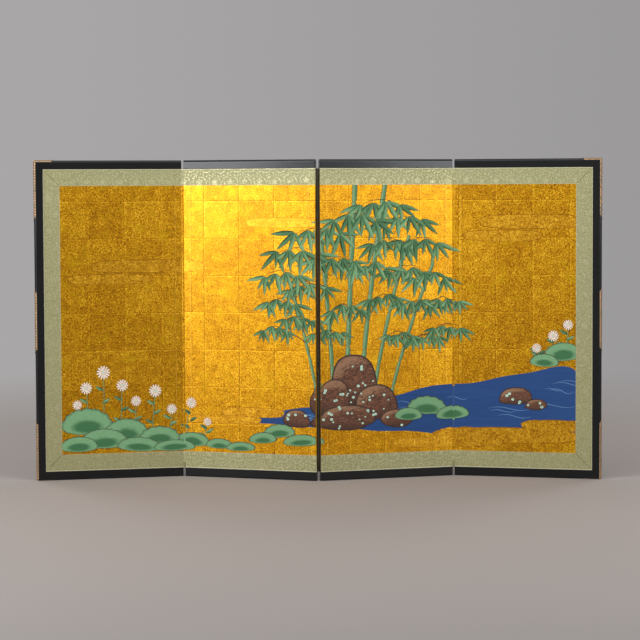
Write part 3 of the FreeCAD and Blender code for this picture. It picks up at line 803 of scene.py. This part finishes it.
def mound_paint(finish, u, v, tone, pool, here):
    radius = (u * u + (v + 0.25) * (v + 0.25)) ** 0.5
    angle = u.maths("ARCTAN2", u, v + 0.35)
    blades = finish.noise(finish.spot(angle * 9, radius * 1.3, tone * 40), 4.0, 3.0, 0.6)
    light = finish.mix(blades, (0.085, 0.235, 0.100), (0.235, 0.420, 0.230))
    deep = finish.mix(blades, (0.030, 0.115, 0.045), (0.055, 0.170, 0.070))
    colour = finish.mix((radius + (blades - 0.5) * 0.35).over(0.42, 0.78), deep, light)
    rim = (u * u + v * v).over(0.88, 1.0)
    return finish.mix(rim * 0.5, colour, (0.06, 0.14, 0.07))


def stalk_paint(finish, u, v, tone, pool, here):
    colour = finish.mix((v * 0.5 + 0.5).held(), (0.045, 0.150, 0.065), (0.200, 0.360, 0.170))
    shine = (0.22 - abs(v - 0.35)).over(0.0, 0.2)
    colour = finish.mix(shine * 0.5, colour, (0.36, 0.50, 0.27))
    ends = abs(u).over(0.90, 0.985)
    colour = finish.mix(ends * 0.75, colour, (0.40, 0.50, 0.33))
    return finish.mix(((pool - 0.45) * 0.9).held(), colour, (0.06, 0.13, 0.06))


def rock_paint(finish, u, v, tone, pool, here):
    spot = finish.spot(u * 2.2 + v * 1.3, v * 5.0 - u * 1.5, tone * 30)
    strokes = finish.noise(spot, 2.6, 5.0, 0.65, 1.2)
    colour = finish.node("ShaderNodeValToRGB", {"stops": [
        (0.30, (0.020, 0.015, 0.016)), (0.46, (0.085, 0.036, 0.022)),
        (0.60, (0.190, 0.080, 0.042)), (0.78, (0.330, 0.190, 0.115))]}, {0: strokes})
    radius = (u * u + v * v) ** 0.5
    lit = (v * 0.8 - u * 0.3 + (strokes - 0.5) * 1.6).over(0.25, 0.75) * radius.over(0.45, 0.8)
    colour = finish.mix(lit * 0.6, colour, (0.36, 0.205, 0.115))
    shade = (0 - v + (strokes - 0.5) * 1.8).over(0.1, 0.9)
    colour = finish.mix(shade * 0.6, colour, (0.030, 0.018, 0.016))
    return finish.mix(radius.over(0.93, 0.99) * 0.8, colour, (0.014, 0.011, 0.012))


def ink_paint(finish, u, v, tone, pool, here):
    return finish.mix(pool, (0.018, 0.013, 0.014), (0.070, 0.034, 0.024))


def water_paint(finish, u, v, tone, pool, here):
    x, y, z = finish.parts(here)
    drift = finish.noise(finish.spot(x * 3, y * 3, z * 26), 4, 4.0, 0.6)
    return finish.mix(drift, (0.010, 0.042, 0.150), (0.020, 0.072, 0.225))


def ripple_paint(finish, u, v, tone, pool, here):
    return finish.mix(pool, (0.06, 0.16, 0.36), (0.16, 0.30, 0.48))


def mint_paint(finish, u, v, tone, pool, here):
    ring = (u * u + v * v) ** 0.5
    colour = finish.mix(ring.over(0.35, 0.6), (0.25, 0.48, 0.36), (0.55, 0.74, 0.60))
    return finish.mix(ring.over(0.80, 0.98) * 0.7, colour, (0.05, 0.14, 0.10))


def petal_paint(finish, u, v, tone, pool, here):
    near = (u * 0.5 + 0.5).held()
    colour = finish.mix(near, (0.62, 0.42, 0.34), (0.80, 0.78, 0.68))
    return finish.mix((u * u + v * v).over(0.80, 0.98) * 0.5, colour, (0.36, 0.22, 0.16))


def mist_finish():
    """Raised leaf of the cloud bands, a tone paler than the ground."""
    finish = Finish("gold_mist", Metallic=0.85, Coat_Weight=0.12, Coat_Roughness=0.35)
    here = finish.here()
    form = finish.parts(finish.node("ShaderNodeUVMap", {"uv_map": "form"}))
    crinkle = finish.noise(here, 205, 4.0, 0.58, 1.1)
    cloudy = finish.noise(here, 30, 2.0)
    rim = (form[0] * form[0] + form[1] * form[1]).over(0.90, 0.995)
    tone = ((crinkle - 0.5) * 2.0 + (cloudy - 0.5) * 0.6 + 0.54).held()
    colour = finish.node("ShaderNodeValToRGB", {"stops": [
        (0.0, (0.30, 0.11, 0.001)), (0.5, (0.62, 0.29, 0.005)), (1.0, (0.98, 0.58, 0.04))]},
        {0: tone})
    finish.set(Base_Color=finish.mix(rim * 0.75, colour, (0.34, 0.13, 0.004)),
               Roughness=0.38 + (crinkle - 0.5) * 0.7)
    finish.bump(crinkle, 0.4, 0.0006)
    return finish


def power(value, exponent):
    """A power that keeps the sign."""
    return math.copysign(1, value) * abs(value) ** exponent


# How far over the leaf each kind of form is laid, before it rises
water_level = 0.06
ripple_level = 0.22
mist_level = 0.24
stalk_level = 0.26
twig_level = 0.34
flower_leaf_level = 0.37
flower_stalk_level = 0.40
spray_level = 0.42
mound_level = 0.50
moss_level = 0.98
petal_level = 1.12
heart_level = 1.32

chance = random.Random(11)
leaf_form = Stamp("leaf", 14, lambda x, y: (x, y * 0.9 * (1 - x) ** 0.55 * (1.05 + x) ** 0.25))
petal_form = Stamp("petal", 10, lambda x, y: (x, y * (0.75 + 0.35 * x)))
dot_form = Stamp("dot", 12, lambda x, y: (x, y))
stalk_form = Stamp("stalk", 16, lambda x, y: (
    power(x, 0.30), power(y, 0.45) * (1 + 0.16 * abs(x) ** 6)))
mounds = []
for lobes in (7, 9, 11):
    def hill(x, y, lobes=lobes):
        angle = math.atan2(y, x)
        r = 0.93 + 0.07 * abs(math.sin(angle * lobes)) + 0.02 * math.sin(angle * 41)
        return x * r, (y if y > 0 else y * 0.42) * r
    mounds.append(Stamp(f"mound_{lobes}", 84, hill))
rocks = []
for seed in range(4):
    dice = random.Random(seed + 3)
    jut = [0.78 + 0.26 * dice.random() for _ in range(9)]

    def crag(x, y, jut=jut):
        turn = (math.atan2(y, x) / math.tau) % 1 * len(jut)
        i = int(turn) % len(jut)
        r = jut[i] + (jut[(i + 1) % len(jut)] - jut[i]) * (turn - int(turn))
        return power(x, 0.85) * r, (y if y > 0 else y * 0.6) * r
    rocks.append(Stamp(f"rock_{seed}", 36, crag))
band_form = Stamp("band", 120, lambda x, y: (
    power(x, 0.45) * (1 + 0.02 * math.sin(y * 9)),
    power(y, 0.75) * (0.86 + 0.14 * abs(math.sin(math.acos(max(-1, min(1, x))) * 11)))))

water = Paint("painted_water", painted("water_blue", water_paint))
ripples = Paint("painted_ripples", painted("ripple_blue", ripple_paint))
mist = Paint("painted_mist", mist_finish())
ink = Paint("painted_ink", painted("ink_brown", ink_paint))
stone = Paint("painted_rocks", painted("rock_brown", rock_paint))
moss = Paint("painted_moss", painted("moss_mint", mint_paint))
stalks = Paint("painted_bamboo", painted("bamboo_green", stalk_paint))
leaves = Paint("painted_leaves", painted("leaf_green", leaf_paint))
shrubs = Paint("painted_shrubs", painted("shrub_green", mound_paint))
petals = Paint("painted_petals", painted("petal_white", petal_paint))


def framed(paint, stamp, x, z, width, height, angle, level, tone, edge, row=None):
    """A form with a thin dark line round it. Forms in a higher row lie over those in a lower."""
    rise = paint.rise() if row is None else row * row_rise
    ink.lay(stamp, x, z, width + edge, height + edge, angle, level, tone, rise)
    paint.lay(stamp, x, z, width, height, angle, level + paint_over_ink, tone, rise)


def paint_water():
    water.outline([(1580, 318), (1500, 326), (1430, 300), (1340, 292), (1250, 262), (1130, 268),
                   (1040, 236), (950, 226), (860, 206), (760, 214), (660, 186), (560, 182),
                   (500, 170), (560, 158), (680, 162), (770, 150), (860, 158), (960, 132),
                   (1080, 138), (1180, 112), (1300, 122), (1420, 96), (1580, 104)],
                  water_level)
    for _ in range(26):
        x = 640 + chance.random() * 860
        middle = 176 + (x - 600) * 0.036
        z = middle + (chance.random() - 0.45) * (x - 560) * 0.13
        length = 50 + chance.random() * 90
        swell = 3 + chance.random() * 4
        ripples.ribbon(lambda t: (x + length * t, z + swell * math.sin(t * 6.3)),
                       lambda t: 0.4 + 1.3 * math.sin(math.pi * t), ripple_level)


def paint_mist():
    for x, z, width, height in ((610, 190, 190, 30), (520, 168, 230, 26), (1350, 120, 420, 46),
                                (1180, 100, 330, 34), (1490, 150, 190, 34), (300, 610, 330, 40),
                                (190, 574, 250, 32), (1420, 735, 300, 44), (1340, 694, 230, 34),
                                (700, 735, 220, 30)):
        mist.lay(band_form, x, z, width, height, 0, mist_level)


def paint_rocks():
    for i, (x, z, width, height, lean, row) in enumerate((
            (905, 262, 150, 215, 8, 0), (835, 225, 120, 150, -14, 1), (968, 205, 130, 130, 10, 1),
            (870, 170, 190, 95, 0, 2), (1030, 166, 110, 70, 4, 2), (742, 172, 92, 66, -6, 3),
            (1380, 226, 96, 62, 6, 0), (1436, 206, 66, 40, 0, 1))):
        framed(stone, rocks[i % 4], x, z, width, height, lean, mound_level, chance.random(),
               edge=3.8, row=row)
        for _ in range(int(width * height / 2300) + 3):
            a = chance.random() * 6.28
            r = chance.random() ** 0.5 * 0.36
            size = 5 + chance.random() * 5
            moss.lay(dot_form, x + math.cos(a) * r * width, z + math.sin(a) * r * height * 0.8 + 4,
                     size, size * 0.85, 0, moss_level, rise=0)


def spray(x, z, heading, count, size):
    """A fan of bamboo leaves that hangs from a twig's end."""
    for k in range(count):
        angle = heading + (k - (count - 1) / 2) * 33 + (chance.random() - 0.5) * 16
        length = size * (0.8 + chance.random() * 0.45)
        way = math.radians(angle)
        framed(leaves, leaf_form, x + math.cos(way) * length * 0.52, z + math.sin(way) * length * 0.52,
               length, length * 0.17 + 2, angle, spray_level + 0.03 * (k % 3), chance.random(),
               edge=1.2)


def twig(x0, z0, x1, z1, thick):
    """A thin brown twig from one place to another, a little bowed."""
    sag = (chance.random() - 0.3) * 14
    ink.ribbon(lambda t: (x0 + (x1 - x0) * t, z0 + (z1 - z0) * t + sag * math.sin(math.pi * t)),
               lambda t: thick * (1 - 0.6 * t), twig_level, steps=10)


def paint_bamboo():
    stems = ((838, 250, 700, -36, 11), (880, 300, 870, 26, 14), (925, 290, 870, 74, 13),
             (962, 250, 650, 92, 10), (1002, 190, 560, 116, 9), (808, 210, 520, -70, 8))
    for x, z, top, lean, width in stems:
        at = z
        step = 62 + width * 1.5
        while at < top:
            share = (at + step / 2 - z) / (top - z)
            middle = x + lean * share ** 1.25
            tilt = math.degrees(math.atan2(top - z, lean * 1.2 * max(share, 0.15) ** 0.25))
            framed(stalks, stalk_form, middle, at + step / 2, step * 0.985, width, tilt,
                   stalk_level, 0.5, edge=1.4)
            at += step * math.sin(math.radians(tilt)) * 0.99
    crowns = ((800, 720, 64), (742, 664, 60), (698, 600, 52), (850, 640, 54), (770, 560, 50),
              (700, 520, 44), (905, 760, 66), (980, 800, 62), (1050, 752, 60), (1100, 690, 56),
              (1010, 690, 56), (950, 620, 50), (1060, 610, 52), (1130, 590, 48), (1170, 520, 46),
              (1090, 510, 46), (990, 530, 44), (750, 470, 42), (680, 440, 38), (1180, 440, 40),
              (1120, 410, 40), (880, 500, 44), (830, 430, 38), (1040, 420, 38))
    for x, z, size in crowns:
        root = z - 46
        roots = [foot_x + lean * ((root - foot) / (top - foot)) ** 1.25
                 for foot_x, foot, top, lean, width in stems if foot < root < top]
        root_x = min(roots, key=lambda place: abs(place - x))
        twig(root_x, root, x, z, 2.6)
        for side in (-1, 1):
            twig(x, z, x + side * size * 0.9, z - size * 0.25, 1.8)
        for k in range(4):
            across = (k - 1.5) * size * 0.62
            spray(x + across, z - abs(across) * 0.28 + (chance.random() - 0.5) * 12,
                  -90 + across * 0.5, 4, size)


def paint_shrubs():
    for i, (x, z, width, height, row) in enumerate((
            (120, 150, 150, 108, 0), (232, 128, 128, 88, 1), (168, 104, 140, 80, 2),
            (330, 112, 120, 70, 2), (424, 100, 104, 56, 1), (96, 92, 110, 62, 3),
            (270, 88, 130, 58, 3), (506, 92, 84, 40, 2), (372, 84, 120, 44, 4),
            (1120, 196, 120, 74, 4), (1196, 176, 96, 54, 5), (1064, 176, 84, 50, 5),
            (690, 132, 96, 54, 4), (640, 112, 84, 44, 5), (1516, 352, 110, 74, 1),
            (1462, 330, 84, 52, 2), (572, 86, 90, 36, 3), (756, 108, 110, 46, 5))):
        framed(shrubs, mounds[i % 3], x, z, width, height, (chance.random() - 0.5) * 8,
               mound_level, chance.random(), edge=2.6, row=row)


def blossom(x, z, size):
    """A daisy: two rings of petals round a pale green heart."""
    for ring, (count, reach) in enumerate(((13, 0.36), (9, 0.22))):
        for k in range(count):
            angle = k * 360 / count + ring * 14
            way = math.radians(angle)
            petals.lay(petal_form, x + math.cos(way) * size * reach, z + math.sin(way) * size * reach,
                       size * (0.46 - ring * 0.08), size * 0.17, angle, petal_level + 0.06 * ring)
    moss.lay(dot_form, x, z, size * 0.24, size * 0.24, 0, heart_level, rise=0)


def paint_blossoms():
    for x, z, size, root in ((118, 262, 30, 130), (168, 306, 34, 160), (222, 268, 30, 214),
                             (262, 222, 26, 250), (318, 250, 32, 306), (366, 196, 26, 350),
                             (420, 214, 28, 408), (470, 160, 22, 460), (92, 214, 24, 104),
                             (1488, 408, 28, 1496), (1530, 440, 26, 1520), (1440, 372, 24, 1452)):
        foot = 90 if x < 700 else 340
        bow = (chance.random() - 0.5) * 22
        stalks.ribbon(lambda t: (root + (x - root) * t + bow * math.sin(math.pi * t),
                                 foot + (z - foot) * t), lambda t: 2.6 - 1.0 * t,
                      flower_stalk_level, steps=14)
        for k in range(3):
            share = 0.45 + 0.17 * k
            side = 1 if k % 2 else -1
            framed(leaves, leaf_form, root + (x - root) * share + side * 11, foot + (z - foot) * share,
                   26, 9, 90 - side * 62, flower_leaf_level, chance.random(), edge=1.0)
        blossom(x, z, size)


paint_water()
paint_mist()
paint_rocks()
paint_bamboo()
paint_shrubs()
paint_blossoms()
for paint in (water, ripples, mist, ink, stone, moss, stalks, leaves, shrubs, petals):
    paint.finish_pieces()


# Floor, background, light and camera

def make_stage():
    """A round floor that fades out between 1.3 and 4.2 m from the middle."""
    just_below = -0.0004
    bm = bmesh.new()
    bmesh.ops.create_circle(bm, cap_ends=True, segments=96, radius=9)
    bmesh.ops.translate(bm, vec=(0, 0, just_below), verts=bm.verts)
    mesh = bpy.data.meshes.new("studio_floor")
    bm.to_mesh(mesh)
    bm.free()
    floor = bpy.data.objects.new("studio_floor", mesh)
    bpy.context.scene.collection.objects.link(floor)
    finish = Finish("studio_paper", Base_Color=(0.293, 0.260, 0.243), Roughness=0.8)
    x, y, _ = finish.parts(finish.here())
    far = ((x * x + y * y) ** 0.5).over(1.3, 4.2)
    clear = finish.node("ShaderNodeBsdfTransparent")
    mixed = finish.node("ShaderNodeMixShader", {}, {0: far, 1: Wire(finish, finish.shader.outputs[0]),
                                                    2: clear})
    finish.join(finish.tree.nodes["Material Output"].inputs["Surface"], mixed)
    mesh.materials.append(finish.material)


def make_world():
    """A grey background, a little darker towards the right of the view."""
    half_view = 0.16
    world = bpy.data.worlds.new("studio_grey")
    world.use_nodes = True
    bpy.context.scene.world = world
    tree = world.node_tree
    background = tree.nodes["Background"]
    way = tree.nodes.new("ShaderNodeTexCoord")
    split = tree.nodes.new("ShaderNodeSeparateXYZ")
    across = tree.nodes.new("ShaderNodeMapRange")
    across.inputs["From Min"].default_value = -half_view
    across.inputs["From Max"].default_value = half_view
    paper = tree.nodes.new("ShaderNodeMix")
    paper.data_type = "RGBA"
    paper.inputs["A"].default_value = (0.400, 0.388, 0.388, 1)
    paper.inputs["B"].default_value = (0.324, 0.316, 0.318, 1)
    tree.links.new(way.outputs["Generated"], split.inputs[0])
    tree.links.new(split.outputs["X"], across.inputs["Value"])
    tree.links.new(across.outputs[0], paper.inputs["Factor"])
    tree.links.new(paper.outputs["Result"], background.inputs["Color"])


def softbox(name, spot, aim, width, height, watts):
    light = bpy.data.lights.new(name, "AREA")
    light.shape = "RECTANGLE"
    light.size = width
    light.size_y = height
    light.energy = watts
    lamp = bpy.data.objects.new(name, light)
    bpy.context.scene.collection.objects.link(lamp)
    lamp.location = spot
    lamp.rotation_euler = (Vector(aim) - Vector(spot)).to_track_quat("-Z", "Y").to_euler()


def make_camera():
    """The camera fitted to the photograph: its place in metres, its angles in degrees, and its focal
    length in pixels of a picture 640 wide."""
    place = (0.0718, -6.4817, 0.8295)
    focal_pixels = 2265
    picture_pixels = 640
    pan, tilt, roll = (math.radians(v) for v in (-0.589, 3.307, -0.245))
    ahead = Vector((math.sin(pan) * math.cos(tilt), math.cos(pan) * math.cos(tilt), -math.sin(tilt)))
    right = Vector((math.cos(pan), -math.sin(pan), 0))
    up = right.cross(ahead)
    across = right * math.cos(roll) + up * math.sin(roll)
    above = up * math.cos(roll) - right * math.sin(roll)
    view = bpy.data.cameras.new("camera")
    view.sensor_width = 36
    view.lens = focal_pixels / picture_pixels * view.sensor_width
    view.clip_end = 60
    camera = bpy.data.objects.new("camera", view)
    bpy.context.scene.collection.objects.link(camera)
    turn = Matrix((across, above, -ahead)).transposed().to_4x4()
    camera.matrix_world = Matrix.Translation(place) @ turn
    bpy.context.scene.camera = camera


make_stage()
make_world()
softbox("key_softbox", spot=(-2.66, -2.45, 1.65), aim=(-0.3, 0, 0.6), width=1.1, height=2.0,
        watts=84)
softbox("fill_softbox", spot=(2.76, -2.5, 1.65), aim=(0.3, 0, 0.6), width=1.1, height=2.0,
        watts=61)
softbox("top_softbox", spot=(0, -0.9, 2.3), aim=(0, 0.1, 0.3), width=2.4, height=1.2, watts=20)
for name, x in (("left_back_softbox", -2.9), ("right_back_softbox", 2.9)):
    softbox(name, spot=(x, 3.0, 2.0), aim=(0, 0, 0.4), width=1.6, height=1.6, watts=45)
make_camera()
bpy.context.scene.view_settings.view_transform = "Standard"
